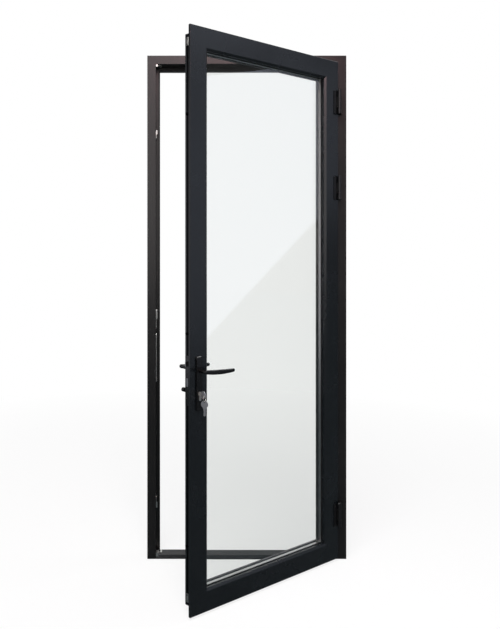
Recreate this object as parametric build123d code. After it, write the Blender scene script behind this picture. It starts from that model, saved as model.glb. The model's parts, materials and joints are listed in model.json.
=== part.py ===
from build123d import *
import math
import os

# A glass entrance door of powder-coated aluminium: one leaf in its frame, hinged at the right.
# x runs to the right as seen from outside, y runs from outside to inside, z runs up.
# The origin is the middle of the frame's foot. All sizes are in millimetres.
# Across a frame or leaf bar, a size runs inward from the outer edge, and a depth from the front.

# Door frame
FRAME_WIDTH = 870
FRAME_HEIGHT = 2200
FRAME_DEPTH = 72
FRAME_FACE = 38
STOP_HEIGHT = 18
STOP_THICKNESS = 20
WALL = 2
EDGE_RADIUS = 1.5

# Threshold
THRESHOLD_HEIGHT = 20
THRESHOLD_FLAT = 46
THRESHOLD_NOSE = 6
THRESHOLD_RIB_PITCH = 7
THRESHOLD_RIB_WIDTH = 2.4
THRESHOLD_RIB_DEPTH = 0.8
CONNECTOR_WIDTH = 10
CONNECTOR_DEPTH = 26
CONNECTOR_RISE = 7
CONNECTOR_SEAT = 8

# Door leaf
LEAF_MARGIN = 32
LEAF_FOOT_GAP = 9
LEAF_THICKNESS = 58
FLANGE_THICKNESS = 9
FLANGE_GAP = 3
FLANGE_OVERHANG = 20
FACE_FLAT = 75
FACE_BEVEL = 8
BEVEL_DEPTH = 7
LIP_DEPTH = 18
REBATE_HEIGHT = 17
OPEN_ANGLE = 34.2

# Hardware groove round the edge of the leaf
GROOVE_CENTRE = 42
GROOVE_WIDTH = 15
GROOVE_MOUTH = 11
GROOVE_LIP = 1.5
GROOVE_DEPTH = 5

# Glazing
PANE_THICKNESS = 5
CAVITY = 12
GLASS_EDGE_GAP = 5
GASKET_THICKNESS = 4
GASKET_STAND = 1.5
OUTER_GASKET_REACH = 9
INNER_GASKET_STAND = 0.5
INNER_GASKET_REACH = 12
SPACER_HEIGHT = 7
EDGE_SEAL_HEIGHT = 6
BEAD_HEIGHT = 20
BEAD_FOOT = 4
BLOCK_LENGTH = 100
BLOCK_INSET = 90

# Seals
SEAL_WIDTH = 5.4
SEAL_INSET = 3
SEAL_FOOT = 2.2
SEAL_FOOT_DEPTH = 2.3
FLANGE_SEAL_WIDTH = 4
FLANGE_SEAL_INSET = 1.5
BRUSH_THICKNESS = 6
BRUSH_DEPTH = 20
SEAL_CLEARANCE = 0.3

# Corner cleats
CLEAT_LEG = 75
CLEAT_CLEARANCE = 0.3
CLEAT_WALL = 4

# Hinges
HINGE_LENGTH = 100
HINGE_RADIUS = 8
HINGE_INSET = 5
HINGE_STANDOFF = 11
HINGE_PIN_RADIUS = 4
HINGE_END_KNUCKLE = 28
HINGE_KNUCKLE_GAP = 0.5
HINGE_WEB = 6
HINGE_FRAME_PLATE = 14
HINGE_LEAF_PLATE = 14
HINGE_PLATE_THICKNESS = 4
HINGE_EDGE_GAP = 1
HINGE_CORNER = 3
HINGE_CAP_HEIGHT = 4
TOP_HINGE_INSET = 209
HINGE_PAIR_SPACING = 372
BOTTOM_HINGE_Z = 201

# Lock
LOCK_BACKSET = 18
SPINDLE_Z = 905
CYLINDER_DROP = 85
CASE_THICKNESS = 14.4
CASE_LENGTH_IN = 40
CASE_ABOVE_SPINDLE = 37
CASE_BELOW_CYLINDER = 35
POCKET_CLEARANCE = 0.3
FACEPLATE_WIDTH = 22
FACEPLATE_THICKNESS = 2.5
FACEPLATE_OVERLAP = 13
LATCH_RISE = 20
LATCH_HEIGHT = 18
LATCH_THICKNESS = 12
LATCH_THROW = 14
LATCH_TRAVEL = 12
LATCH_TAIL = 12
DEADBOLT_RISE = 36
DEADBOLT_HEIGHT = 30
DEADBOLT_THICKNESS = 10
DEADBOLT_LENGTH = 30
DEADBOLT_THROW = 20
BOLT_CLEARANCE = 0.5

# Profile cylinder, plug and thumbturn
CYLINDER_RADIUS = 8.5
CYLINDER_HEIGHT = 33
CYLINDER_LEG = 10
CYLINDER_STAND = 3
CAM_WIDTH = 9
CAM_RADIUS = 15.3
CAM_LOBE = 8
PLUG_RADIUS = 6.5
RUNNING_CLEARANCE = 0.05
TURN_STEM_RADIUS = 5
TURN_STEM_LENGTH = 10
TURN_WIDTH = 20
TURN_HEIGHT = 16
TURN_LENGTH = 16
TURN_EDGE = 2

# Keys and ring
KEY_THICKNESS = 2.4
KEY_BLADE_HEIGHT = 8.2
KEY_BLADE_LENGTH = 26.5
KEY_SHOULDER_HEIGHT = 12
KEY_SHOULDER_LENGTH = 4
KEY_BOW_WIDTH = 27
KEY_BOW_HEIGHT = 28
KEY_HOLE_RADIUS = 2.8
KEY_HOLE_INSET = 4.8
KEY_HOLE_RISE = 0
KEYWAY_CLEARANCE = 0.2
KEY_CUT_PITCH = 4.2
KEY_CUT_COUNT = 5
KEY_CUT_START = 5
KEY_CUT_DEPTH = 1.2
KEY_CUT_STEP = 0.9
KEY_CUT_WIDTH = 3.2
KEY_CUT_FLOOR = 1
RING_RADIUS = 10.5
RING_WIRE_RADIUS = 1
RING_CLEARANCE = 0.3
RING_TWIST = 25

# Handle set
PLATE_WIDTH = 26
PLATE_ABOVE_CASE = 15
PLATE_BELOW_CASE = 28
PLATE_THICKNESS = 8
PLATE_CORNER = 7
PLATE_EDGE = 2
COLLAR_RADIUS = 10.5
COLLAR_HEIGHT = 3
NECK_RADIUS = 8
NECK_EMBED = 6
SPINDLE_WIDTH = 8
SPINDLE_CLEARANCE = 0.1
SPINDLE_DEPTH = 24
LEVER_PROJECTION = 47
LEVER_LENGTH = 132
LEVER_ROOT = 7.6
LEVER_MIDDLE_DROP = 5
LEVER_MIDDLE_HEIGHT = 17.2
LEVER_TIP_DROP = 4.2
LEVER_TIP_HEIGHT = 12.6
LEVER_TIP_BULGE = 4
LEVER_THICKNESS = 11
LEVER_EDGE = 3.5
SCREW_RADIUS = 2.5
SCREW_HEAD_RADIUS = 4.5
SCREW_HEAD_HEIGHT = 3
SCREW_END_INSET = 8
SCREW_GRIP = 5

# Locking rods and keeps
ROD_THICKNESS = 2.8
ROD_CLEARANCE = 0.3
ROD_TRAVEL = 18
ROD_TIP_WIDTH = 9.4
ROD_LOCK_GAP = 2
ROLLER_RADIUS = 4.75
ROLLER_REACH = 8
GUIDE_LENGTH = 30
GUIDE_END_INSET = 15
GUIDE_WIDTH = 12
GUIDE_THICKNESS = 2.5
KEEP_WIDTH = 24
KEEP_THICKNESS = 2
KEEP_LIP_THICKNESS = 4
KEEP_LIP_REACH = 4
KEEP_LIP_CLEARANCE = 1
UPPER_KEEP_INSET = 323
UPPER_KEEP_LENGTH = 37
MIDDLE_KEEP_Z = (1004, 1088)
LOWER_KEEP_Z = (217, 267)
STRIKE_Z = (769, 982)
STRIKE_THICKNESS = 3
STRIKE_OPENING_MARGIN = 3
END_KEEP_WIDTH = 18
END_KEEP_THICKNESS = 2
END_KEEP_NOSE = 8

# Fixings through the jambs
FIXING_RADIUS = 4
FIXING_DEPTH = 24
FIXING_END_INSET = 150
FIXING_MIDDLE_INSET = 600

# Places that follow from the sizes above
FRONT = -FRAME_DEPTH / 2
FRAME_LEFT = -FRAME_WIDTH / 2
FRAME_RIGHT = FRAME_WIDTH / 2
FRAME_RECT = (FRAME_LEFT, 0, FRAME_RIGHT, FRAME_HEIGHT)
STOP_EDGE = FRAME_FACE + STOP_HEIGHT
STOP_FRONT = FRAME_DEPTH - STOP_THICKNESS
LEAF_LEFT = FRAME_LEFT + LEAF_MARGIN
LEAF_RIGHT = FRAME_RIGHT - LEAF_MARGIN
LEAF_TOP = FRAME_HEIGHT - LEAF_MARGIN
LEAF_RECT = (LEAF_LEFT, LEAF_FOOT_GAP, LEAF_RIGHT, LEAF_TOP)
LEAF_FRONT = FRONT - FLANGE_THICKNESS - FLANGE_GAP
LEAF_BACK = LEAF_FRONT + LEAF_THICKNESS
BODY_LEFT = LEAF_LEFT + FLANGE_OVERHANG
BODY_TOP = LEAF_TOP - FLANGE_OVERHANG
BODY_BOTTOM = LEAF_FOOT_GAP + FLANGE_OVERHANG
SIGHT_EDGE = FACE_FLAT + FACE_BEVEL
REBATE_FLOOR = SIGHT_EDGE - REBATE_HEIGHT
GROOVE_FLOOR = FLANGE_OVERHANG + GROOVE_DEPTH
HINGE_X = LEAF_RIGHT - HINGE_INSET
HINGE_Y = LEAF_FRONT - HINGE_STANDOFF
LOCK_X = BODY_LEFT + LOCK_BACKSET
LOCK_Y = LEAF_FRONT + GROOVE_CENTRE
CYLINDER_Z = SPINDLE_Z - CYLINDER_DROP
CASE_BOTTOM = CYLINDER_Z - CASE_BELOW_CYLINDER
CASE_TOP = SPINDLE_Z + CASE_ABOVE_SPINDLE
LATCH_Z = SPINDLE_Z + LATCH_RISE
DEADBOLT_Z = CYLINDER_Z + DEADBOLT_RISE
PLATE_TOP = CASE_TOP + PLATE_ABOVE_CASE
PLATE_FOOT = CASE_BOTTOM - PLATE_BELOW_CASE
TOP_HINGE_Z = FRAME_HEIGHT - TOP_HINGE_INSET
MIDDLE_HINGE_Z = TOP_HINGE_Z - HINGE_PAIR_SPACING
UPPER_KEEP_Z = (FRAME_HEIGHT - UPPER_KEEP_INSET - UPPER_KEEP_LENGTH, FRAME_HEIGHT - UPPER_KEEP_INSET)
FIXING_LOW = (FIXING_END_INSET, FIXING_MIDDLE_INSET)
FIXING_Z = FIXING_LOW + (FRAME_HEIGHT - FIXING_MIDDLE_INSET, FRAME_HEIGHT - FIXING_END_INSET)
GLASS_EDGE = REBATE_FLOOR + GLASS_EDGE_GAP
GLASS_FRONT = LIP_DEPTH + GASKET_THICKNESS
GLASS_BACK = GLASS_FRONT + 2 * PANE_THICKNESS + CAVITY
BEAD_DEPTH = GLASS_BACK + GASKET_THICKNESS - 1
BEAD_TOP = REBATE_FLOOR + BEAD_HEIGHT
CONNECTOR_LOW = THRESHOLD_HEIGHT - CONNECTOR_SEAT
CONNECTOR_BACK = FRONT + CONNECTOR_DEPTH
ROD_OUTER = FLANGE_OVERHANG + GROOVE_LIP + ROD_CLEARANCE
ROD_X = LEAF_LEFT + ROD_OUTER
HINGE_AXIS = Axis((HINGE_X, HINGE_Y, 0), (0, 0, 1))


def block(x0, x1, y0, y1, z0, z1):
    """A box between two corners."""
    middle = ((x0 + x1) / 2, (y0 + y1) / 2, (z0 + z1) / 2)
    return Pos(*middle) * Box(abs(x1 - x0), abs(y1 - y0), abs(z1 - z0))


def rod_y(radius, x, z, y0, y1):
    """A round bar along y."""
    return Pos(x, (y0 + y1) / 2, z) * Rot(90, 0, 0) * Cylinder(radius, abs(y1 - y0))


def rod_x(radius, y, z, x0, x1):
    """A round bar along x."""
    return Pos((x0 + x1) / 2, y, z) * Rot(0, 90, 0) * Cylinder(radius, abs(x1 - x0))


def rod_z(radius, x, y, z0, z1):
    """A round bar along z."""
    return Pos(x, y, (z0 + z1) / 2) * Cylinder(radius, abs(z1 - z0))


def together(pieces):
    """Several pieces as one shape; those that don't touch stay separate solids."""
    return pieces[0] + pieces[1:]


def rounded(points):
    """A closed outline of (a, b) or (a, b, corner radius) points, as a face on the XY plane."""
    corners = [(point[0], point[1]) for point in points]
    radii = [point[2] if len(point) > 2 else 0 for point in points]
    return make_face(FilletPolyline(*corners, radius=radii, close=True))


def across(side, rect, point, front):
    """Turns (inward size, depth) into plan coordinates for one side of a rectangle."""
    left, low, right, high = rect
    inward, depth = point[0], point[1]
    corner = tuple(point[2:])
    if side == "left":
        return (left + inward, front + depth) + corner
    if side == "right":
        return (right - inward, front + depth) + corner
    if side == "bottom":
        return (front + depth, low + inward) + corner
    return (front + depth, high - inward) + corner


def mitre_block(side, rect, reach, square_foot):
    """The space that one mitred side of a rectangle fills, seen from the front."""
    left, low, right, high = rect
    foot = 0 if square_foot else reach
    outlines = {
        "left": [(left, low), (left, high), (left + reach, high - reach), (left + reach, low + foot)],
        "right": [(right, low), (right, high), (right - reach, high - reach), (right - reach, low + foot)],
        "top": [(left, high), (right, high), (right - reach, high - reach), (left + reach, high - reach)],
        "bottom": [(left, low), (right, low), (right - reach, low + reach), (left + reach, low + reach)],
    }
    face = make_face(Plane.XZ * Polyline(*outlines[side], close=True))
    return extrude(face, amount=2 * FRAME_DEPTH, dir=(0, 1, 0), both=True)


def extruded_bar(side, rect, front, outline, hollows=(), square_foot=False):
    """One straight extruded side of a rectangle, cut at its mitres."""
    left, low, right, high = rect
    section = rounded([across(side, rect, point, front) for point in outline])
    for hollow in hollows:
        section -= rounded([across(side, rect, point, front) for point in hollow])
    if side in ("left", "right"):
        bar = Pos(0, 0, low) * extrude(section, amount=high - low, dir=(0, 0, 1))
    else:
        bar = Plane.YZ * extrude(section, amount=right - left, dir=(0, 0, 1))
        bar = Pos(left, 0, 0) * bar
    reach = max(point[0] for point in outline)
    return bar & mitre_block(side, rect, reach, square_foot)


def closed_ring(rect, front, outline):
    """A mitred ring of one section round a whole rectangle, as one piece."""
    sides = [extruded_bar(side, rect, front, outline) for side in ("left", "top", "right", "bottom")]
    return together(sides)


def frame_section():
    """The frame's extrusion: a face tube with a stop behind it, and a groove for the stop's seal."""
    seal = STOP_EDGE - SEAL_INSET
    groove = SEAL_FOOT / 2 + 0.1
    outline = [
        (0, 0, EDGE_RADIUS),
        (FRAME_FACE, 0, EDGE_RADIUS),
        (FRAME_FACE, STOP_FRONT),
        (seal - groove, STOP_FRONT),
        (seal - groove, STOP_FRONT + SEAL_FOOT_DEPTH + 0.2),
        (seal + groove, STOP_FRONT + SEAL_FOOT_DEPTH + 0.2),
        (seal + groove, STOP_FRONT),
        (STOP_EDGE, STOP_FRONT, EDGE_RADIUS),
        (STOP_EDGE, FRAME_DEPTH, EDGE_RADIUS),
        (0, FRAME_DEPTH, EDGE_RADIUS),
    ]
    face_chamber = [
        (WALL, WALL),
        (FRAME_FACE - WALL, WALL),
        (FRAME_FACE - WALL, STOP_FRONT),
        (WALL, STOP_FRONT),
    ]
    seal_wall = STOP_FRONT + SEAL_FOOT_DEPTH + 0.2 + WALL
    stop_chamber = [
        (WALL, STOP_FRONT + WALL),
        (seal - groove - WALL, STOP_FRONT + WALL),
        (seal - groove - WALL, seal_wall),
        (STOP_EDGE - WALL, seal_wall),
        (STOP_EDGE - WALL, FRAME_DEPTH - WALL),
        (WALL, FRAME_DEPTH - WALL),
    ]
    return outline, (face_chamber, stop_chamber)


def leaf_section():
    """The leaf's extrusion: flange, bevelled face, glazing rebate, two chambers and the groove."""
    mouth = GROOVE_MOUTH / 2
    half = GROOVE_WIDTH / 2
    lip = FLANGE_OVERHANG + GROOVE_LIP
    outline = [
        (0, 0, EDGE_RADIUS),
        (FACE_FLAT, 0),
        (SIGHT_EDGE, BEVEL_DEPTH),
        (SIGHT_EDGE, LIP_DEPTH),
        (REBATE_FLOOR, LIP_DEPTH),
        (REBATE_FLOOR, LEAF_THICKNESS),
        (FLANGE_OVERHANG, LEAF_THICKNESS, EDGE_RADIUS),
        (FLANGE_OVERHANG, GROOVE_CENTRE + mouth),
        (lip, GROOVE_CENTRE + mouth),
        (lip, GROOVE_CENTRE + half),
        (GROOVE_FLOOR, GROOVE_CENTRE + half),
        (GROOVE_FLOOR, GROOVE_CENTRE - half),
        (lip, GROOVE_CENTRE - half),
        (lip, GROOVE_CENTRE - mouth),
        (FLANGE_OVERHANG, GROOVE_CENTRE - mouth),
        (FLANGE_OVERHANG, FLANGE_THICKNESS),
        (0, FLANGE_THICKNESS),
    ]
    front_chamber = [
        (WALL, WALL),
        (FACE_FLAT - WALL / 2, WALL),
        (SIGHT_EDGE - WALL, BEVEL_DEPTH + WALL / 2),
        (SIGHT_EDGE - WALL, LIP_DEPTH - WALL),
        (FLANGE_OVERHANG + WALL, LIP_DEPTH - WALL),
        (FLANGE_OVERHANG + WALL, FLANGE_THICKNESS - WALL),
        (WALL, FLANGE_THICKNESS - WALL),
    ]
    back_chamber = [
        (FLANGE_OVERHANG + WALL, LIP_DEPTH),
        (REBATE_FLOOR - WALL, LIP_DEPTH),
        (REBATE_FLOOR - WALL, LEAF_THICKNESS - WALL),
        (GROOVE_FLOOR + WALL, LEAF_THICKNESS - WALL),
        (GROOVE_FLOOR + WALL, GROOVE_CENTRE - half - WALL),
        (FLANGE_OVERHANG + WALL, GROOVE_CENTRE - half - WALL),
    ]
    return outline, (front_chamber, back_chamber)


def frame_bar(side):
    """A jamb or the head, before its holes."""
    outline, hollows = frame_section()
    return extruded_bar(side, FRAME_RECT, FRONT, outline, hollows, square_foot=True)


def fixing_holes(side):
    """Clear holes through a jamb's face tube, for the screws into the wall."""
    outer = FRAME_LEFT if side == "left" else FRAME_RIGHT
    inner = outer + math.copysign(FRAME_FACE + 1, -outer)
    start = outer + math.copysign(1, outer)
    holes = [rod_x(FIXING_RADIUS, FRONT + FIXING_DEPTH, z, start, inner) for z in FIXING_Z]
    return together(holes)


def strike_openings(deep):
    """The spaces for the latch and the deadbolt, from the strike to a depth in the jamb."""
    half_latch = LATCH_THICKNESS / 2 + 1
    half_bolt = DEADBOLT_THICKNESS / 2 + 1
    x0 = FRAME_LEFT + FRAME_FACE - deep
    x1 = FRAME_LEFT + FRAME_FACE + STRIKE_THICKNESS + 1
    latch_z = LATCH_HEIGHT / 2 + STRIKE_OPENING_MARGIN
    bolt_z = DEADBOLT_HEIGHT / 2 + STRIKE_OPENING_MARGIN
    latch = block(x0, x1, LOCK_Y - half_latch, LOCK_Y + half_latch, LATCH_Z - latch_z, LATCH_Z + latch_z)
    bolt = block(x0, x1, LOCK_Y - half_bolt, LOCK_Y + half_bolt, DEADBOLT_Z - bolt_z, DEADBOLT_Z + bolt_z)
    return latch + bolt


def rod_slot(z0, z1):
    """The slot that a locking rod's tip slides into."""
    half = ROD_TIP_WIDTH / 2 + 1
    return block(ROD_X - 1.2, ROD_X + ROD_THICKNESS + 1.2, LOCK_Y - half, LOCK_Y + half, z0, z1)


def lock_jamb():
    return frame_bar("left") - fixing_holes("left") - strike_openings(WALL + 1)


def hinge_jamb():
    return frame_bar("right") - fixing_holes("right")


def head():
    low = FRAME_HEIGHT - FRAME_FACE
    return frame_bar("top") - rod_slot(low - 1, low + WALL + 1)


def threshold():
    """A low sill with a ribbed top and a slope down to the inside."""
    outline = [
        (FRONT, 0),
        (FRONT + FRAME_DEPTH, 0),
        (FRONT + FRAME_DEPTH, THRESHOLD_NOSE, 1),
        (FRONT + THRESHOLD_FLAT, THRESHOLD_HEIGHT, 2),
        (FRONT, THRESHOLD_HEIGHT, 1.5),
    ]
    inner_top = THRESHOLD_HEIGHT - WALL - THRESHOLD_RIB_DEPTH
    hollow = [
        (FRONT + WALL, WALL),
        (FRONT + FRAME_DEPTH - 3 * THRESHOLD_NOSE, WALL),
        (FRONT + THRESHOLD_FLAT - WALL, inner_top),
        (FRONT + WALL, inner_top),
    ]
    left = FRAME_LEFT + FRAME_FACE
    right = FRAME_RIGHT - FRAME_FACE
    sill = extrude(rounded(outline) - rounded(hollow), amount=right - left, dir=(0, 0, 1))
    sill = Pos(left, 0, 0) * (Plane.YZ * sill)
    ribs = int((THRESHOLD_FLAT - THRESHOLD_RIB_PITCH / 2) // THRESHOLD_RIB_PITCH)
    half = THRESHOLD_RIB_WIDTH / 2
    for index in range(ribs):
        y = FRONT + THRESHOLD_RIB_PITCH * (index + 1)
        floor = THRESHOLD_HEIGHT - THRESHOLD_RIB_DEPTH
        sill -= block(left, right, y - half, y + half, floor, THRESHOLD_HEIGHT + 1)
    back = FRONT + STOP_FRONT
    end = FRONT + FRAME_DEPTH + 1
    sill -= block(left - 1, FRAME_LEFT + STOP_EDGE, back, end, -1, THRESHOLD_HEIGHT + 1)
    sill -= block(FRAME_RIGHT - STOP_EDGE, right + 1, back, end, -1, THRESHOLD_HEIGHT + 1)
    above = THRESHOLD_HEIGHT + 1
    seat = block(left - 1, left + CONNECTOR_WIDTH, FRONT - 1, CONNECTOR_BACK, CONNECTOR_LOW, above)
    return sill - rod_slot(inner_top - 1, above) - seat - mirror(seat, about=Plane.YZ)


def threshold_connectors():
    """The two end blocks, seated in the threshold's ends, that tie it to the jambs."""
    x = FRAME_LEFT + FRAME_FACE
    top = THRESHOLD_HEIGHT + CONNECTOR_RISE
    left = block(x, x + CONNECTOR_WIDTH, FRONT, CONNECTOR_BACK, CONNECTOR_LOW, top)
    left = chamfer(left.edges().filter_by(Axis.Y).group_by(Axis.Z)[-1].sort_by(Axis.X)[-1], 2)
    return left + mirror(left, about=Plane.YZ)


def corner_cleat(corner_x, corner_z, inward_x, inward_z, near, far, depths):
    """A hollow L-shaped cleat that joins two bars at a corner."""
    leg = near + CLEAT_LEG
    points = [(near, near), (leg, near), (leg, far), (far, far), (far, leg), (near, leg)]
    placed = [(corner_x + inward_x * a, corner_z + inward_z * b) for a, b in points]
    face = make_face(Plane.XZ * Polyline(*placed, close=True))
    face -= offset(face, -CLEAT_WALL, kind=Kind.INTERSECTION)
    cleat = extrude(face, amount=depths[1] - depths[0], dir=(0, 1, 0))
    return Pos(0, depths[0], 0) * cleat


def frame_corner_cleats():
    near = WALL + CLEAT_CLEARANCE
    far = FRAME_FACE - WALL - CLEAT_CLEARANCE
    depths = (FRONT + WALL + CLEAT_CLEARANCE, FRONT + STOP_FRONT - CLEAT_CLEARANCE)
    left = corner_cleat(FRAME_LEFT, FRAME_HEIGHT, 1, -1, near, far, depths)
    right = corner_cleat(FRAME_RIGHT, FRAME_HEIGHT, -1, -1, near, far, depths)
    return left + right


def leaf_corner_cleats():
    near = GROOVE_FLOOR + WALL + CLEAT_CLEARANCE
    far = REBATE_FLOOR - WALL - CLEAT_CLEARANCE
    depths = (LEAF_FRONT + LIP_DEPTH + CLEAT_CLEARANCE, LEAF_BACK - WALL - CLEAT_CLEARANCE)
    corners = [
        (LEAF_LEFT, LEAF_FOOT_GAP, 1, 1),
        (LEAF_RIGHT, LEAF_FOOT_GAP, -1, 1),
        (LEAF_LEFT, LEAF_TOP, 1, -1),
        (LEAF_RIGHT, LEAF_TOP, -1, -1),
    ]
    return together([corner_cleat(*corner, near, far, depths) for corner in corners])


def stop_seal():
    """The rubber seal along both jambs and the head, with its foot in the stop's groove."""
    middle = STOP_EDGE - SEAL_INSET
    half = SEAL_WIDTH / 2
    crest = LEAF_BACK - FRONT + SEAL_CLEARANCE
    foot = SEAL_FOOT / 2
    outline = [
        (middle - half, STOP_FRONT),
        (middle - half, crest, 1.4),
        (middle + half, crest, 1.4),
        (middle + half, STOP_FRONT),
        (middle + foot, STOP_FRONT),
        (middle + foot, STOP_FRONT + SEAL_FOOT_DEPTH),
        (middle - foot, STOP_FRONT + SEAL_FOOT_DEPTH),
        (middle - foot, STOP_FRONT),
    ]
    rect = (FRAME_LEFT, THRESHOLD_HEIGHT, FRAME_RIGHT, FRAME_HEIGHT)
    sides = ("left", "top", "right")
    return together([extruded_bar(side, rect, FRONT, outline, square_foot=True) for side in sides])


def roller_keep(heights, upward):
    """A keep plate on the jamb with a lip that the roller slides behind."""
    low, high = heights
    base = FRAME_LEFT + FRAME_FACE
    half = KEEP_WIDTH / 2
    plate = block(base, base + KEEP_THICKNESS, LOCK_Y - half, LOCK_Y + half, low, high)
    plate = fillet(plate.edges().filter_by(Axis.X), 3)
    middle = (low + high) / 2
    lip_z = (middle, high) if upward else (low, middle)
    lip_y = LOCK_Y - ROLLER_RADIUS - KEEP_LIP_CLEARANCE
    reach = base + KEEP_THICKNESS + KEEP_LIP_REACH
    lip = block(base, reach, lip_y - KEEP_LIP_THICKNESS, lip_y, lip_z[0], lip_z[1])
    entry = lip.edges().filter_by(Axis.Y).sort_by(Axis.X)[-2:].sort_by(Axis.Z)
    lip = chamfer(entry[0] if upward else entry[-1], KEEP_LIP_REACH - 1)
    return plate + lip


def main_strike():
    """The strike plate for the latch and the deadbolt."""
    base = FRAME_LEFT + FRAME_FACE
    half = KEEP_WIDTH / 2
    plate = block(base, base + STRIKE_THICKNESS, LOCK_Y - half, LOCK_Y + half, STRIKE_Z[0], STRIKE_Z[1])
    plate = fillet(plate.edges().filter_by(Axis.X), 4)
    return plate - strike_openings(1)


def head_bolt_keep():
    """The keep for the upper rod's tip, under the head."""
    low = FRAME_HEIGHT - FRAME_FACE - END_KEEP_THICKNESS
    high = FRAME_HEIGHT - FRAME_FACE
    half = KEEP_WIDTH / 2
    middle = ROD_X + ROD_THICKNESS / 2
    x0 = FRAME_LEFT + FRAME_FACE
    x1 = middle + END_KEEP_WIDTH / 2
    plate = block(x0, x1, LOCK_Y - half, LOCK_Y + half, low, high)
    nose_x = x0 + END_KEEP_NOSE
    nose = block(x0, nose_x, FRONT + EDGE_RADIUS, LOCK_Y - half, low - END_KEEP_NOSE, high)
    return plate + nose - rod_slot(low - 1, high + 1)


def threshold_bolt_keep():
    """The keep for the lower rod's tip, on the threshold."""
    low = THRESHOLD_HEIGHT
    high = THRESHOLD_HEIGHT + END_KEEP_THICKNESS
    half = KEEP_WIDTH / 2
    middle = ROD_X + ROD_THICKNESS / 2
    x0 = FRAME_LEFT + FRAME_FACE + CONNECTOR_WIDTH
    x1 = middle + END_KEEP_WIDTH / 2
    plate = block(x0, x1, LOCK_Y - half, LOCK_Y + half, low, high)
    return plate - rod_slot(low - 1, high + 1)


def knuckle_bounds(z):
    """Heights where the three knuckles of a hinge begin and end."""
    low = z - HINGE_LENGTH / 2
    high = z + HINGE_LENGTH / 2
    lower = low + HINGE_END_KNUCKLE
    upper = high - HINGE_END_KNUCKLE
    return low, lower, upper, high


def hinge_frame_half(z):
    """The hinge half on the jamb, with the two outer knuckles."""
    low, lower, upper, high = knuckle_bounds(z)
    x0 = LEAF_RIGHT + HINGE_EDGE_GAP
    half = block(x0, x0 + HINGE_FRAME_PLATE, FRONT - HINGE_PLATE_THICKNESS, FRONT, low, high)
    half = fillet(half.edges().filter_by(Axis.Y).sort_by(Axis.X)[-2:], HINGE_CORNER)
    for z0, z1 in ((low, lower), (upper, high)):
        half += rod_z(HINGE_RADIUS, HINGE_X, HINGE_Y, z0, z1)
        half += block(x0, x0 + HINGE_WEB, HINGE_Y, FRONT, z0, z1)
    bore = HINGE_PIN_RADIUS + RUNNING_CLEARANCE
    half -= rod_z(bore, HINGE_X, HINGE_Y, low + WALL, high + 1)
    gap = HINGE_RADIUS + 1
    return half - rod_z(gap, HINGE_X, HINGE_Y, lower, upper)


def hinge_leaf_half(z):
    """The hinge half on the leaf, with the middle knuckle."""
    low, lower, upper, high = knuckle_bounds(z)
    x1 = HINGE_X - HINGE_RADIUS - 1
    x0 = x1 - HINGE_LEAF_PLATE
    back = LEAF_FRONT
    half = block(x0, x1, back - HINGE_PLATE_THICKNESS, back, low, high)
    half = fillet(half.edges().filter_by(Axis.Y).sort_by(Axis.X)[:2], HINGE_CORNER)
    z0 = lower + HINGE_KNUCKLE_GAP
    z1 = upper - HINGE_KNUCKLE_GAP
    half += rod_z(HINGE_RADIUS, HINGE_X, HINGE_Y, z0, z1)
    half += block(x1 - 1, HINGE_X - 2, HINGE_Y, back, z0, z1)
    bore = HINGE_PIN_RADIUS + RUNNING_CLEARANCE
    return half - rod_z(bore, HINGE_X, HINGE_Y, z0 - 1, z1 + 1)


def hinge_pin(z):
    """A hinge pin with a bevelled head on the upper knuckle."""
    low, lower, upper, high = knuckle_bounds(z)
    pin = rod_z(HINGE_PIN_RADIUS, HINGE_X, HINGE_Y, low + WALL, high)
    cap = rod_z(HINGE_RADIUS, HINGE_X, HINGE_Y, high, high + HINGE_CAP_HEIGHT)
    cap = chamfer(cap.edges().group_by(Axis.Z)[-1], HINGE_CAP_HEIGHT / 2)
    return pin + cap


def hinge_pins():
    return together([hinge_pin(z) for z in (TOP_HINGE_Z, MIDDLE_HINGE_Z, BOTTOM_HINGE_Z)])


def leaf_bar(side):
    """A stile or rail of the leaf, before its holes."""
    outline, hollows = leaf_section()
    return extruded_bar(side, LEAF_RECT, LEAF_FRONT, outline, hollows)


def cylinder_outline(extra):
    """The profile cylinder's section in x and z about its turning axis."""
    radius = CYLINDER_RADIUS + extra
    leg = CYLINDER_LEG / 2 + extra
    foot = CYLINDER_HEIGHT - CYLINDER_RADIUS + extra
    body = Circle(radius) + Pos(0, -foot / 2) * Rectangle(2 * leg, foot)
    return fillet(body.vertices().sort_by(Axis.Y)[:2], leg - 0.5)


def cylinder_bar(extra, y0, y1):
    """The profile cylinder's section drawn out along y at the lock's place."""
    face = Plane((LOCK_X, y0, CYLINDER_Z), x_dir=(1, 0, 0), z_dir=(0, -1, 0)) * cylinder_outline(extra)
    return extrude(face, amount=y1 - y0, dir=(0, 1, 0))


def screw_places():
    """Heights of the two screws that hold the handle plates together."""
    return PLATE_TOP - SCREW_END_INSET, PLATE_FOOT + SCREW_END_INSET


def lock_stile():
    """The lock stile, with the pocket for the lock case and the holes for handles and cylinder."""
    stile = leaf_bar("left")
    half = CASE_THICKNESS / 2 + POCKET_CLEARANCE
    x1 = BODY_LEFT + CASE_LENGTH_IN + POCKET_CLEARANCE
    z0 = CASE_BOTTOM - POCKET_CLEARANCE
    z1 = CASE_TOP + POCKET_CLEARANCE
    stile -= block(BODY_LEFT - 1, x1, LOCK_Y - half, LOCK_Y + half, z0, z1)
    stile -= rod_y(NECK_RADIUS + 0.5, LOCK_X, SPINDLE_Z, LEAF_FRONT - 1, LEAF_BACK + 1)
    stile -= cylinder_bar(0.5, LEAF_FRONT - 1, LEAF_BACK + 1)
    for z in screw_places():
        stile -= rod_y(SCREW_RADIUS + 0.5, LOCK_X, z, LEAF_FRONT - 1, LEAF_BACK + 1)
    return stile


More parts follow.
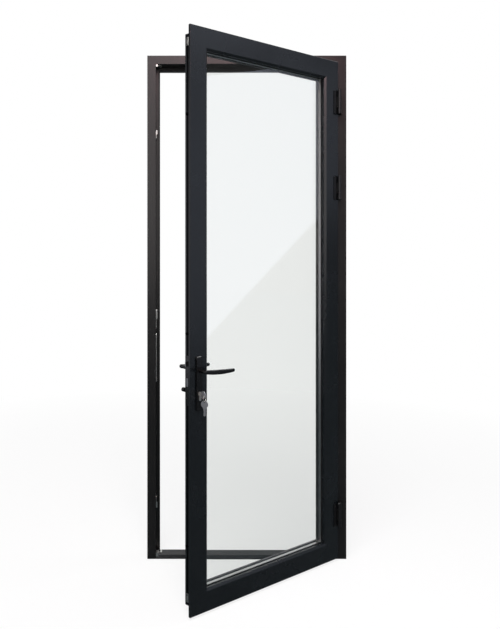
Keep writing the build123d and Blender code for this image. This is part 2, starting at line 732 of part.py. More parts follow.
def bead(side):
    """A glazing bead that clips behind the glass on one side."""
    outline = [
        (REBATE_FLOOR, LEAF_THICKNESS),
        (REBATE_FLOOR, BEAD_DEPTH - 7),
        (REBATE_FLOOR + BEAD_FOOT, BEAD_DEPTH - 7),
        (REBATE_FLOOR + BEAD_FOOT, BEAD_DEPTH),
        (BEAD_TOP, BEAD_DEPTH),
        (BEAD_TOP, LEAF_THICKNESS - 3),
        (BEAD_TOP - 3, LEAF_THICKNESS),
    ]
    return extruded_bar(side, LEAF_RECT, LEAF_FRONT, outline)


def ring_outline(inner, outer, near, far):
    """A rectangular ring section between two inward sizes and two depths."""
    return [(inner, near), (outer, near), (outer, far), (inner, far)]


def outer_glazing_gasket():
    low = SIGHT_EDGE - OUTER_GASKET_REACH
    outline = ring_outline(low, SIGHT_EDGE + GASKET_STAND, LIP_DEPTH, GLASS_FRONT)
    return closed_ring(LEAF_RECT, LEAF_FRONT, outline)


def inner_glazing_gasket():
    low = BEAD_TOP - INNER_GASKET_REACH
    outline = ring_outline(low, BEAD_TOP + INNER_GASKET_STAND, GLASS_BACK, BEAD_DEPTH)
    return closed_ring(LEAF_RECT, LEAF_FRONT, outline)


def pane(depth):
    """One sheet of glass, its front at the given depth in the leaf."""
    left, low, right, high = LEAF_RECT
    front = LEAF_FRONT + depth
    edge = GLASS_EDGE
    return block(left + edge, right - edge, front, front + PANE_THICKNESS, low + edge, high - edge)


def spacer_bar():
    """The metal spacer that holds the panes apart round their edge."""
    near = GLASS_FRONT + PANE_THICKNESS
    inner = GLASS_EDGE + EDGE_SEAL_HEIGHT
    outline = ring_outline(inner, inner + SPACER_HEIGHT, near, near + CAVITY)
    return closed_ring(LEAF_RECT, LEAF_FRONT, outline)


def unit_edge_seal():
    """The sealant between the panes, outside the spacer."""
    near = GLASS_FRONT + PANE_THICKNESS
    outline = ring_outline(GLASS_EDGE, GLASS_EDGE + EDGE_SEAL_HEIGHT, near, near + CAVITY)
    return closed_ring(LEAF_RECT, LEAF_FRONT, outline)


def glazing_blocks():
    """Packers between the glass and the rebate floor, two on each side."""
    left, low, right, high = LEAF_RECT
    y0 = LEAF_FRONT + GLASS_FRONT - 1
    y1 = LEAF_FRONT + BEAD_DEPTH - 8
    inner = REBATE_FLOOR
    outer = GLASS_EDGE
    start = GLASS_EDGE + BLOCK_INSET
    end = start + BLOCK_LENGTH
    blocks = []
    for x0, x1 in ((left + start, left + end), (right - end, right - start)):
        blocks.append(block(x0, x1, y0, y1, low + inner, low + outer))
        blocks.append(block(x0, x1, y0, y1, high - outer, high - inner))
    for z0, z1 in ((low + start, low + end), (high - end, high - start)):
        blocks.append(block(left + inner, left + outer, y0, y1, z0, z1))
        blocks.append(block(right - outer, right - inner, y0, y1, z0, z1))
    return together(blocks)


def flange_seal():
    """The soft seal behind the flange that meets the frame's face."""
    inner = FLANGE_SEAL_INSET
    outline = ring_outline(
        inner, inner + FLANGE_SEAL_WIDTH, FLANGE_THICKNESS, FLANGE_THICKNESS + FLANGE_GAP - SEAL_CLEARANCE
    )
    return closed_ring(LEAF_RECT, LEAF_FRONT, outline)


def bottom_brush():
    """The brush under the bottom rail that wipes the threshold."""
    y0 = LEAF_FRONT + BRUSH_DEPTH
    x0 = LEAF_LEFT + FLANGE_OVERHANG + 4
    x1 = LEAF_RIGHT - FLANGE_OVERHANG - 4
    low = THRESHOLD_HEIGHT + SEAL_CLEARANCE
    return block(x0, x1, y0, y0 + BRUSH_THICKNESS, low, BODY_BOTTOM)


def latch_space(extra):
    """The latch bolt's channel through faceplate and case."""
    half = LATCH_THICKNESS / 2 + extra
    rise = LATCH_HEIGHT / 2 + extra
    x1 = BODY_LEFT + LATCH_TAIL + LATCH_TRAVEL + extra
    x0 = BODY_LEFT - LATCH_THROW
    return block(x0, x1, LOCK_Y - half, LOCK_Y + half, LATCH_Z - rise, LATCH_Z + rise)


def deadbolt_bar(extra):
    """The deadbolt at rest, grown by a clearance to give its channel."""
    half = DEADBOLT_THICKNESS / 2 + extra
    rise = DEADBOLT_HEIGHT / 2 + extra
    x0 = BODY_LEFT - FACEPLATE_THICKNESS - extra
    x1 = x0 + DEADBOLT_LENGTH + 2 * extra
    return block(x0, x1, LOCK_Y - half, LOCK_Y + half, DEADBOLT_Z - rise, DEADBOLT_Z + rise)


def lock_case():
    """The lock's body, with channels for its bolts, spindle, cylinder and cam."""
    half = CASE_THICKNESS / 2
    case = block(BODY_LEFT, BODY_LEFT + CASE_LENGTH_IN, LOCK_Y - half, LOCK_Y + half, CASE_BOTTOM, CASE_TOP)
    case -= latch_space(BOLT_CLEARANCE)
    case -= deadbolt_bar(BOLT_CLEARANCE)
    case -= rod_y(SPINDLE_WIDTH * 0.78, LOCK_X, SPINDLE_Z, LOCK_Y - half - 1, LOCK_Y + half + 1)
    case -= cylinder_bar(0.3, LOCK_Y - half - 1, LOCK_Y + half + 1)
    cam = CAM_WIDTH / 2 + 1
    return case - rod_y(CAM_RADIUS + 0.7, LOCK_X, CYLINDER_Z, LOCK_Y - cam, LOCK_Y + cam)


def lock_faceplate():
    """The plate over the edge of the lock case."""
    half = FACEPLATE_WIDTH / 2
    x0 = BODY_LEFT - FACEPLATE_THICKNESS
    z0 = CASE_BOTTOM - FACEPLATE_OVERLAP
    z1 = CASE_TOP + FACEPLATE_OVERLAP
    plate = block(x0, BODY_LEFT, LOCK_Y - half, LOCK_Y + half, z0, z1)
    plate = fillet(plate.edges().filter_by(Axis.X), 5)
    return plate - latch_space(BOLT_CLEARANCE) - deadbolt_bar(BOLT_CLEARANCE)


def latch_bolt():
    """The sprung latch, bevelled on the side that meets the strike as the door shuts."""
    half = LATCH_THICKNESS / 2
    x0 = BODY_LEFT - LATCH_THROW
    x1 = BODY_LEFT + LATCH_TAIL
    outline = [
        (x0, LOCK_Y - half, 1),
        (x1, LOCK_Y - half),
        (x1, LOCK_Y + half),
        (BODY_LEFT - FACEPLATE_THICKNESS, LOCK_Y + half),
        (x0, LOCK_Y - half + 4, 1),
    ]
    bolt = extrude(rounded(outline), amount=LATCH_HEIGHT, dir=(0, 0, 1))
    return Pos(0, 0, LATCH_Z - LATCH_HEIGHT / 2) * bolt


def deadbolt():
    return deadbolt_bar(0)


def cylinder_body():
    """The profile cylinder's housing, with the gap in its middle where the cam turns."""
    y0 = LEAF_FRONT - PLATE_THICKNESS - CYLINDER_STAND
    y1 = LEAF_BACK + PLATE_THICKNESS + CYLINDER_STAND
    body = cylinder_bar(0, y0, y1)
    cam = CAM_WIDTH / 2 + 0.5
    low = CYLINDER_Z - CAM_RADIUS - 0.7
    high = CYLINDER_Z + CYLINDER_RADIUS + 1
    wide = CYLINDER_RADIUS + 1
    body -= block(LOCK_X - wide, LOCK_X + wide, LOCK_Y - cam, LOCK_Y + cam, low, high)
    return body - rod_y(PLUG_RADIUS + RUNNING_CLEARANCE, LOCK_X, CYLINDER_Z, y0 - 1, y1 + 1)


def cylinder_plug():
    """The turning plug, with the cam in its middle and the keyway in its outer end."""
    y0 = LEAF_FRONT - PLATE_THICKNESS - CYLINDER_STAND
    y1 = LEAF_BACK + PLATE_THICKNESS + CYLINDER_STAND
    plug = rod_y(PLUG_RADIUS, LOCK_X, CYLINDER_Z, y0, y1)
    half = CAM_WIDTH / 2
    lobe = rod_y(CAM_RADIUS, LOCK_X, CYLINDER_Z, LOCK_Y - half, LOCK_Y + half)
    side = CAM_LOBE / 2
    low = CYLINDER_Z - CAM_RADIUS
    lobe &= block(LOCK_X - side, LOCK_X + side, LOCK_Y - half, LOCK_Y + half, low, CYLINDER_Z)
    slot = KEY_THICKNESS / 2 + KEYWAY_CLEARANCE
    rise = KEY_BLADE_HEIGHT / 2 + KEYWAY_CLEARANCE
    deep = y0 + KEY_BLADE_LENGTH + 2
    keyway = block(LOCK_X - slot, LOCK_X + slot, y0 - 1, deep, CYLINDER_Z - rise, CYLINDER_Z + rise)
    return plug + lobe - keyway


def thumbturn():
    """The knob that turns the plug from inside."""
    y0 = LEAF_BACK + PLATE_THICKNESS + CYLINDER_STAND
    stem = rod_y(TURN_STEM_RADIUS, LOCK_X, CYLINDER_Z, y0, y0 + TURN_STEM_LENGTH + 1)
    y1 = y0 + TURN_STEM_LENGTH
    plane = Plane((LOCK_X, y1, CYLINDER_Z), x_dir=(1, 0, 0), z_dir=(0, 1, 0))
    knob = extrude(plane * SlotOverall(TURN_WIDTH, TURN_HEIGHT), amount=TURN_LENGTH, dir=(0, 1, 0))
    knob = chamfer(knob.edges().group_by(Axis.Y)[-1], TURN_EDGE)
    return stem + knob


def key_cut(y, depth):
    """One V-shaped cut across the upper edge of a key's blade."""
    rise = KEY_BLADE_HEIGHT / 2
    mouth = KEY_CUT_WIDTH / 2
    floor = KEY_CUT_FLOOR / 2
    above = rise + 0.1
    low = rise - depth
    corners = [(y - mouth, above), (y + mouth, above), (y + floor, low), (y - floor, low)]
    face = make_face(Plane.YZ * Polyline(*corners, close=True))
    return extrude(face, amount=KEY_THICKNESS, both=True)


def flat_key():
    """A key lying along y from its shoulder at the origin, its bow towards -y and its blade upright."""
    half = KEY_THICKNESS / 2
    rise = KEY_BLADE_HEIGHT / 2
    blade = block(-half, half, -1, KEY_BLADE_LENGTH, -rise, rise)
    tip = blade.edges().filter_by(Axis.X).group_by(Axis.Y)[-1]
    blade = chamfer(tip, rise * 0.6)
    for index in range(KEY_CUT_COUNT):
        depth = KEY_CUT_DEPTH + KEY_CUT_STEP * ((index * 2) % 3)
        blade -= key_cut(KEY_CUT_START + index * KEY_CUT_PITCH, depth)
    shoulder_half = KEY_SHOULDER_HEIGHT / 2
    shoulder = block(-half, half, -KEY_SHOULDER_LENGTH, 0, -shoulder_half, shoulder_half)
    centre = -KEY_SHOULDER_LENGTH + 1.5 - KEY_BOW_WIDTH / 2
    bow_plane = Plane((-half, centre, 0), x_dir=(0, 1, 0), z_dir=(1, 0, 0))
    bow = extrude(bow_plane * Ellipse(KEY_BOW_WIDTH / 2, KEY_BOW_HEIGHT / 2), amount=KEY_THICKNESS)
    y, z = key_hole_offset()
    hole = rod_x(KEY_HOLE_RADIUS, y, z, -half - 1, half + 1)
    return blade + shoulder + bow - hole


def key_hole_offset():
    """Where the hole in a key's bow lies, in y and z from the shoulder."""
    y = -KEY_SHOULDER_LENGTH + 1.5 - KEY_BOW_WIDTH + KEY_HOLE_INSET
    return y, KEY_HOLE_RISE


def key_shoulder_y():
    """The inserted key's shoulder rests just off the plug's face."""
    return LEAF_FRONT - PLATE_THICKNESS - CYLINDER_STAND - 0.3


def ring_top():
    """The middle of the ring's wire where it lies in the inserted key's hole."""
    y, z = key_hole_offset()
    drop = KEY_HOLE_RADIUS - RING_WIRE_RADIUS - RING_CLEARANCE
    return Vector(LOCK_X, key_shoulder_y() + y, CYLINDER_Z + z - drop)


def inserted_key():
    return Pos(LOCK_X, key_shoulder_y(), CYLINDER_Z) * flat_key()


def key_ring():
    """The ring of flattened wire through both keys, hanging a little out of the door's plane."""
    top = ring_top()
    section = Plane.XZ * Pos(RING_RADIUS, 0) * RegularPolygon(RING_WIRE_RADIUS, 8)
    ring = Rot(90, 0, 0) * revolve(section, Axis.Z)
    return Pos(top.X, top.Y, top.Z - RING_RADIUS) * Rot(0, 0, RING_TWIST) * ring


def spare_key():
    """The second key, hanging from the foot of the ring."""
    y, z = key_hole_offset()
    upright = Rot(90, 0, 0) * Pos(0, -y, -z) * flat_key()
    top = ring_top()
    drop = 2 * RING_RADIUS + KEY_HOLE_RADIUS - RING_WIRE_RADIUS - RING_CLEARANCE
    return Pos(top.X, top.Y, top.Z - drop) * Rot(0, 0, RING_TWIST) * Rot(180, 0, 0) * upright


def handle_plate(y0, y1, inside):
    """A long handle plate with its collar; the inner one takes the screws' heads."""
    half = PLATE_WIDTH / 2
    plate = block(LOCK_X - half, LOCK_X + half, y0, y1, PLATE_FOOT, PLATE_TOP)
    plate = fillet(plate.edges().filter_by(Axis.Y), PLATE_CORNER)
    outer = -1 if inside else 0
    plate = chamfer(plate.faces().sort_by(Axis.Y)[outer].edges(), PLATE_EDGE)
    face_y = y1 if inside else y0
    collar_end = face_y + (COLLAR_HEIGHT if inside else -COLLAR_HEIGHT)
    plate += rod_y(COLLAR_RADIUS, LOCK_X, SPINDLE_Z, (y0 + y1) / 2, collar_end)
    bore = NECK_RADIUS + RUNNING_CLEARANCE
    plate -= rod_y(bore, LOCK_X, SPINDLE_Z, y0 - COLLAR_HEIGHT - 1, y1 + COLLAR_HEIGHT + 1)
    plate -= cylinder_bar(0.3, y0 - 1, y1 + 1)
    for z in screw_places():
        if inside:
            plate -= rod_y(SCREW_RADIUS + 0.1, LOCK_X, z, y0 - 1, y1 + 1)
            plate -= rod_y(SCREW_HEAD_RADIUS + 0.1, LOCK_X, z, y1 - SCREW_HEAD_HEIGHT, y1 + 1)
        else:
            plate -= rod_y(SCREW_RADIUS + 0.1, LOCK_X, z, y1 - SCREW_GRIP - 0.5, y1 + 1)
    return plate


def outside_plate():
    return handle_plate(LEAF_FRONT - PLATE_THICKNESS, LEAF_FRONT, False)


def inside_plate():
    return handle_plate(LEAF_BACK, LEAF_BACK + PLATE_THICKNESS, True)


def plate_screws():
    """The two screws through the stile that clamp the plates."""
    screws = []
    end = LEAF_BACK + PLATE_THICKNESS
    for z in screw_places():
        shank = rod_y(SCREW_RADIUS, LOCK_X, z, LEAF_FRONT - SCREW_GRIP, end - 1)
        screws.append(shank + rod_y(SCREW_HEAD_RADIUS, LOCK_X, z, end - SCREW_HEAD_HEIGHT, end - 0.3))
    return together(screws)


def grip_outline():
    """The grip seen from the front: a round root, a smile-curved bar and a blunt tip."""
    middle = LEVER_LENGTH / 2
    shoulder = LEVER_LENGTH - LEVER_TIP_BULGE
    high_middle = LEVER_MIDDLE_HEIGHT / 2 - LEVER_MIDDLE_DROP
    high_tip = LEVER_TIP_HEIGHT / 2 - LEVER_TIP_DROP
    low_middle = high_middle - LEVER_MIDDLE_HEIGHT
    low_tip = high_tip - LEVER_TIP_HEIGHT
    root = ThreePointArc((0, -LEVER_ROOT), (-LEVER_ROOT, 0), (0, LEVER_ROOT))
    top = ThreePointArc((0, LEVER_ROOT), (middle, high_middle), (shoulder, high_tip))
    tip = ThreePointArc((shoulder, high_tip), (LEVER_LENGTH, -LEVER_TIP_DROP), (shoulder, low_tip))
    bottom = ThreePointArc((shoulder, low_tip), (middle, low_middle), (0, -LEVER_ROOT))
    outline = make_face(root + top + tip + bottom)
    return fillet(outline.vertices().sort_by(Axis.X)[-2:], LEVER_TIP_BULGE)


def lever():
    """A lever about its spindle axis: x along the grip, y outward from the leaf's face, z up."""
    face = Plane((0, LEVER_PROJECTION, 0), x_dir=(1, 0, 0), z_dir=(0, -1, 0)) * grip_outline()
    grip = extrude(face, amount=LEVER_THICKNESS / 2, both=True)
    edges = grip.faces().sort_by(Axis.Y)[0].edges() + grip.faces().sort_by(Axis.Y)[-1].edges()
    grip = fillet(edges, LEVER_EDGE)
    journal = rod_y(NECK_RADIUS, 0, 0, PLATE_THICKNESS - NECK_EMBED, PLATE_THICKNESS + COLLAR_HEIGHT + 3)
    neck = rod_y(NECK_RADIUS - 1, 0, 0, PLATE_THICKNESS, LEVER_PROJECTION)
    socket = SPINDLE_WIDTH / 2 + SPINDLE_CLEARANCE
    hole = block(-socket, socket, 0, SPINDLE_DEPTH + 1, -socket, socket)
    return journal + neck + grip - hole


def inside_lever():
    return Pos(LOCK_X, LEAF_BACK, SPINDLE_Z) * lever()


def outside_lever():
    return Pos(LOCK_X, LEAF_FRONT, SPINDLE_Z) * mirror(lever(), about=Plane.XZ)


def spindle():
    """The square bar that joins both levers through the lock."""
    half = SPINDLE_WIDTH / 2
    y0 = LEAF_FRONT - SPINDLE_DEPTH
    y1 = LEAF_BACK + SPINDLE_DEPTH
    bar = block(LOCK_X - half, LOCK_X + half, y0, y1, SPINDLE_Z - half, SPINDLE_Z + half)
    return chamfer(bar.edges().filter_by(Axis.Y), 0.6)


def locking_rod(start, end, rollers):
    """A flat rod in the edge groove with its rollers, from the lock to its tip."""
    half = GROOVE_WIDTH / 2 - ROD_CLEARANCE
    x1 = ROD_X + ROD_THICKNESS
    away = math.copysign(1, end - start)
    shoulder = end - away * (ROD_TRAVEL + GROOVE_LIP + ROD_LOCK_GAP)
    rod = block(ROD_X, x1, LOCK_Y - half, LOCK_Y + half, start, shoulder)
    rod += block(ROD_X, x1, LOCK_Y - ROD_TIP_WIDTH / 2, LOCK_Y + ROD_TIP_WIDTH / 2, shoulder, end)
    for z in rollers:
        rod += rod_x(ROLLER_RADIUS, LOCK_Y, z, BODY_LEFT - ROLLER_REACH, ROD_X + 1)
    return rod


def roller_rest(heights, upward):
    """The height of a roller at rest, half a travel short of the middle of its keep."""
    middle = (heights[0] + heights[1]) / 2
    return middle - ROD_TRAVEL / 2 if upward else middle + ROD_TRAVEL / 2


def upper_rod():
    rollers = [roller_rest(MIDDLE_KEEP_Z, True), roller_rest(UPPER_KEEP_Z, True)]
    return locking_rod(CASE_TOP + ROD_LOCK_GAP, BODY_TOP, rollers)


def lower_rod():
    return locking_rod(CASE_BOTTOM - ROD_LOCK_GAP, BODY_BOTTOM, [roller_rest(LOWER_KEEP_Z, False)])


def rod_guide(z0, z1):
    """A guide over the groove, close to the end of a rod."""
    half = GUIDE_WIDTH / 2
    guide = block(BODY_LEFT - GUIDE_THICKNESS, BODY_LEFT, LOCK_Y - half, LOCK_Y + half, z0, z1)
    guide = chamfer(guide.faces().sort_by(Axis.X)[0].edges().filter_by(Axis.Z), 1)
    tongue = GROOVE_MOUTH / 2 - ROD_CLEARANCE
    return guide + block(BODY_LEFT - 1, BODY_LEFT + GROOVE_LIP, LOCK_Y - tongue, LOCK_Y + tongue, z0, z1)


def top_rod_guide():
    z1 = BODY_TOP - GUIDE_END_INSET
    return rod_guide(z1 - GUIDE_LENGTH, z1)


def bottom_rod_guide():
    z0 = BODY_BOTTOM + GUIDE_END_INSET
    return rod_guide(z0, z0 + GUIDE_LENGTH)


FIXED_PIECES = {
    "lock_jamb": lock_jamb,
    "hinge_jamb": hinge_jamb,
    "head": head,
    "threshold": threshold,
    "threshold_connectors": threshold_connectors,
    "frame_corner_cleats": frame_corner_cleats,
    "stop_seal": stop_seal,
    "main_strike": main_strike,
    "upper_keep": lambda: roller_keep(UPPER_KEEP_Z, True),
    "middle_keep": lambda: roller_keep(MIDDLE_KEEP_Z, True),
    "lower_keep": lambda: roller_keep(LOWER_KEEP_Z, False),
    "head_bolt_keep": head_bolt_keep,
    "threshold_bolt_keep": threshold_bolt_keep,
    "top_hinge_frame_half": lambda: hinge_frame_half(TOP_HINGE_Z),
    "middle_hinge_frame_half": lambda: hinge_frame_half(MIDDLE_HINGE_Z),
    "bottom_hinge_frame_half": lambda: hinge_frame_half(BOTTOM_HINGE_Z),
    "hinge_pins": hinge_pins,
}

LEAF_PIECES = {
    "hinge_stile": lambda: leaf_bar("right"),
    "lock_stile": lock_stile,
    "top_rail": lambda: leaf_bar("top"),
    "bottom_rail": lambda: leaf_bar("bottom"),
    "leaf_corner_cleats": leaf_corner_cleats,
    "top_bead": lambda: bead("top"),
    "bottom_bead": lambda: bead("bottom"),
    "lock_side_bead": lambda: bead("left"),
    "hinge_side_bead": lambda: bead("right"),
    "outer_glazing_gasket": outer_glazing_gasket,
    "inner_glazing_gasket": inner_glazing_gasket,
    "outer_pane": lambda: pane(GLASS_FRONT),
    "inner_pane": lambda: pane(GLASS_FRONT + PANE_THICKNESS + CAVITY),
    "spacer_bar": spacer_bar,
    "unit_edge_seal": unit_edge_seal,
    "glazing_blocks": glazing_blocks,
    "flange_seal": flange_seal,
    "bottom_brush": bottom_brush,
    "top_hinge_leaf_half": lambda: hinge_leaf_half(TOP_HINGE_Z),
    "middle_hinge_leaf_half": lambda: hinge_leaf_half(MIDDLE_HINGE_Z),
    "bottom_hinge_leaf_half": lambda: hinge_leaf_half(BOTTOM_HINGE_Z),
    "lock_case": lock_case,
    "lock_faceplate": lock_faceplate,
    "cylinder_body": cylinder_body,
    "outside_plate": outside_plate,
    "inside_plate": inside_plate,
    "plate_screws": plate_screws,
    "top_rod_guide": top_rod_guide,
    "bottom_rod_guide": bottom_rod_guide,
    "outside_lever": outside_lever,
    "inside_lever": inside_lever,
    "spindle": spindle,
    "latch_bolt": latch_bolt,
    "deadbolt": deadbolt,
    "cylinder_plug": cylinder_plug,
    "thumbturn": thumbturn,
    "inserted_key": inserted_key,
    "key_ring": key_ring,
    "spare_key": spare_key,
    "upper_rod": upper_rod,
    "lower_rod": lower_rod,
}


os.makedirs("parts", exist_ok=True)
for name, make in FIXED_PIECES.items():
    export_step(make(), f"parts/{name}.step")
for name, make in LEAF_PIECES.items():
    export_step(make().rotate(HINGE_AXIS, OPEN_ANGLE), f"parts/{name}.step")
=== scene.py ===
import json
import math

import bmesh
import bpy
from mathutils import Matrix, Vector


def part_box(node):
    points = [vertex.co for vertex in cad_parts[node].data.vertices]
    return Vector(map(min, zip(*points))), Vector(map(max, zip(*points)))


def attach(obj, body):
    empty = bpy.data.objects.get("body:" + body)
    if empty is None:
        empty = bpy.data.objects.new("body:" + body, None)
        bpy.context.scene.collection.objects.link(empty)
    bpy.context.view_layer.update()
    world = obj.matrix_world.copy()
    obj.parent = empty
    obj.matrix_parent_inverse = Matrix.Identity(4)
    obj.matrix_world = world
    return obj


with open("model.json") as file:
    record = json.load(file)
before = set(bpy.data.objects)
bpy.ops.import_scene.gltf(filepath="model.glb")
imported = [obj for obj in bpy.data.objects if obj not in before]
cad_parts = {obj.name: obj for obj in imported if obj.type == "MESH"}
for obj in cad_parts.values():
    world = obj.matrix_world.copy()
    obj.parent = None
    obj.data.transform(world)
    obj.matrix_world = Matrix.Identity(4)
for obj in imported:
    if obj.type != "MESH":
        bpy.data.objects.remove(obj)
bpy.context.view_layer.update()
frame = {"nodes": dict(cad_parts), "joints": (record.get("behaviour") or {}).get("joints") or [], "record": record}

# Places that the part's own solids give, in metres, in the door's frame
SWING = next(joint for joint in frame["joints"] if joint["name"] == "leaf_swing")
HINGE_AXIS = Vector((SWING["pos_m"][0], SWING["pos_m"][1], 0))
OPEN_ANGLE = math.radians(-SWING["range_deg"][0])
HEAD_LOW, HEAD_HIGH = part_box("head")
FRAME_FRONT = HEAD_LOW.y
FRAME_WIDTH = HEAD_HIGH.x - HEAD_LOW.x

# The part's own sizes that its solids don't give one by one, in metres
LEAF_MARGIN = 0.032
LEAF_PROUD = 0.012
LEAF_LEFT = -FRAME_WIDTH / 2 + LEAF_MARGIN
LEAF_WIDTH = FRAME_WIDTH - 2 * LEAF_MARGIN
LEAF_FRONT = FRAME_FRONT - LEAF_PROUD
FLANGE_OVERHANG = 0.020
GROOVE_CENTRE = 0.042
HINGE_PLATE = 0.004
KEEP_PLATE = 0.002
STRIKE_PLATE = 0.003
EDGE_PLATE = 0.0025
SPINDLE_Z = 0.905
CYLINDER_Z = 0.820

# Radii of the small screws' heads
HINGE_SCREW = 0.0038
PLATE_SCREW = 0.0033
CYLINDER_SCREW = 0.0038
GUIDE_SCREW = 0.0026

# Their places: insets from an upright edge, ends from an end, steps from the middle of a piece
FRAME_HALF_INSET = 0.007
FRAME_HALF_STEP = 0.013
LEAF_HALF_INSET = 0.021
LEAF_HALF_STEP = 0.036
KEEP_END = 0.008
KEEP_BACK_STEP = 0.004
FACEPLATE_END = 0.007
GUIDE_END = 0.005
STRIKE_BELOW_CYLINDER = 0.012
FACEPLATE_BELOW_SPINDLE = 0.017

# Each screw in a row is turned on from the one before, in radians
FIRST_TURN = 0.3
TURN_STEP = 0.7

# Camera, matched to the photograph: its frame, focal length and principal point in pixels
PHOTO_WIDTH, PHOTO_HEIGHT = 500, 629
FOCAL_PIXELS = 625.8
PRINCIPAL = (159.1, 255.8)
CAMERA_PLACE = (-0.3834, FRAME_FRONT - 2.7345, 1.3247)
SENSOR = 36

# Light levels, where 1 is white paper: the dim room, the pale backdrop and the floor at the door
ROOM_LEVEL = 0.08
BACKDROP_LEVEL = 0.9
FLOOR_WHITE = 0.8

# How far from the door the floor starts to turn plain white, and is white; its level in reflections
WHITER_FROM, WHITER_TO = 0.9, 3.5
FLOOR_MIRRORED = 1.6 * ROOM_LEVEL
FLOOR_SIZE = 40
FLOOR_DROP = 0.0005

# Where a direction counts as behind the door, by its backward share: none of the backdrop, and all
BACKDROP_FROM, BACKDROP_TO = 0.5, 0.9

# The two pale blue cards at the right: where they stand, their colour and the lower one's level
BLUE_CARD_X = 4.0
BLUE_CARD = "e6ecff"
SLANTED_CARD_LEVEL = 0.68


# Colours and nodes


def srgb(code):
    """A linear colour with alpha from an sRGB hex code such as 'c8b49a'."""
    channels = [int(code[i:i + 2], 16) / 255 for i in (0, 2, 4)]
    linear = [c / 12.92 if c <= 0.04045 else ((c + 0.055) / 1.055) ** 2.4 for c in channels]
    return (*linear, 1.0)


def add(tree, kind, settings=None, **inputs):
    """Adds a node with its settings; each input takes a value or another node's output."""
    node = tree.nodes.new(kind)
    for key, value in (settings or {}).items():
        setattr(node, key, value)
    for key, value in inputs.items():
        socket = node.inputs[int(key[1:])] if key[0] == "i" and key[1:].isdigit() else None
        if socket is None:
            socket = node.inputs[key.replace("_", " ")]
        if isinstance(value, bpy.types.NodeSocket):
            tree.links.new(value, socket)
        else:
            socket.default_value = value
    return node


def new_material(name, base, metallic, roughness, **sockets):
    """A material with one shader; further sockets are given by their names."""
    material = bpy.data.materials.new(name)
    material.use_nodes = True
    tree = material.node_tree
    shader = tree.nodes["Principled BSDF"]
    shader.inputs["Base Color"].default_value = srgb(base)
    shader.inputs["Metallic"].default_value = metallic
    shader.inputs["Roughness"].default_value = roughness
    for key, value in sockets.items():
        shader.inputs[key.replace("_", " ")].default_value = value
    return material, tree, shader


def place_in_mm(tree, stretch=(1, 1, 1)):
    """The point on the object in millimetres, stretched along its axes where asked."""
    where = add(tree, "ShaderNodeTexCoord")
    scale = add(tree, "ShaderNodeMapping", Vector=where.outputs["Object"])
    scale.inputs["Scale"].default_value = [1000 * s for s in stretch]
    return scale.outputs["Vector"]


def ramp(tree, factor, *stops):
    """A colour ramp with (position, hex) stops."""
    node = add(tree, "ShaderNodeValToRGB", i0=factor)
    elements = node.color_ramp.elements
    while len(elements) < len(stops):
        elements.new(0.5)
    for element, (position, code) in zip(elements, stops):
        element.position = position
        element.color = srgb(code)
    return node.outputs["Color"]


def span(tree, factor, low, high):
    """Maps a 0 to 1 factor to a range."""
    node = add(tree, "ShaderNodeMapRange", Value=factor)
    node.inputs["To Min"].default_value = low
    node.inputs["To Max"].default_value = high
    return node.outputs["Result"]


def powder_coat(name, shade, high_shade, roughness):
    """Polyester powder coat, sprayed and baked on aluminium: a satin skin with a fine pebble,
    a little uneven in gloss where the film is thicker. Grains are about 0.4 mm, drawn at 1.1 mm."""
    material, tree, shader = new_material(name, shade, 0.0, roughness, IOR=1.5, Specular_IOR_Level=0.5)
    grain_mm, cloud_mm = 1.1, 180
    where = place_in_mm(tree)
    grain = add(tree, "ShaderNodeTexNoise", Vector=where, Scale=1 / grain_mm, Detail=2.0)
    cloud = add(tree, "ShaderNodeTexNoise", Vector=where, Scale=1 / cloud_mm, Detail=3.0)
    colour = ramp(tree, cloud.outputs["Fac"], (0.35, shade), (0.7, high_shade))
    gloss = span(tree, cloud.outputs["Fac"], roughness - 0.05, roughness + 0.06)
    bump = add(tree, "ShaderNodeBump", Strength=0.25, Distance=0.0001, Height=grain.outputs["Fac"])
    tree.links.new(colour, shader.inputs["Base Color"])
    tree.links.new(gloss, shader.inputs["Roughness"])
    tree.links.new(bump.outputs["Normal"], shader.inputs["Normal"])
    return material


def brushed_metal(name, shade, high_shade, roughness, stretch):
    """Rolled or ground metal: fine lines along the axis that is stretched, drawn 0.5 mm apart so
    they show. With no stretch it is an even fine grain."""
    material, tree, shader = new_material(name, shade, 1.0, roughness)
    line_mm = 0.5
    where = place_in_mm(tree, stretch)
    lines = add(tree, "ShaderNodeTexNoise", Vector=where, Scale=1 / line_mm, Detail=4.0, Roughness=0.6)
    colour = ramp(tree, lines.outputs["Fac"], (0.3, shade), (0.72, high_shade))
    gloss = span(tree, lines.outputs["Fac"], roughness - 0.07, roughness + 0.08)
    bump = add(tree, "ShaderNodeBump", Strength=0.12, Distance=0.0001, Height=lines.outputs["Fac"])
    tree.links.new(colour, shader.inputs["Base Color"])
    tree.links.new(gloss, shader.inputs["Roughness"])
    tree.links.new(bump.outputs["Normal"], shader.inputs["Normal"])
    return material


def cast_metal(name, shade, high_shade, roughness, grain_mm):
    """Die-cast and tumbled zinc, or zinc plating on steel: soft, bright and slightly mottled."""
    material, tree, shader = new_material(name, shade, 1.0, roughness)
    where = place_in_mm(tree)
    mottle = add(tree, "ShaderNodeTexNoise", Vector=where, Scale=1 / grain_mm, Detail=5.0, Roughness=0.65)
    colour = ramp(tree, mottle.outputs["Fac"], (0.3, shade), (0.7, high_shade))
    gloss = span(tree, mottle.outputs["Fac"], roughness - 0.08, roughness + 0.08)
    bump = add(tree, "ShaderNodeBump", Strength=0.15, Distance=0.0001, Height=mottle.outputs["Fac"])
    tree.links.new(colour, shader.inputs["Base Color"])
    tree.links.new(gloss, shader.inputs["Roughness"])
    tree.links.new(bump.outputs["Normal"], shader.inputs["Normal"])
    return material


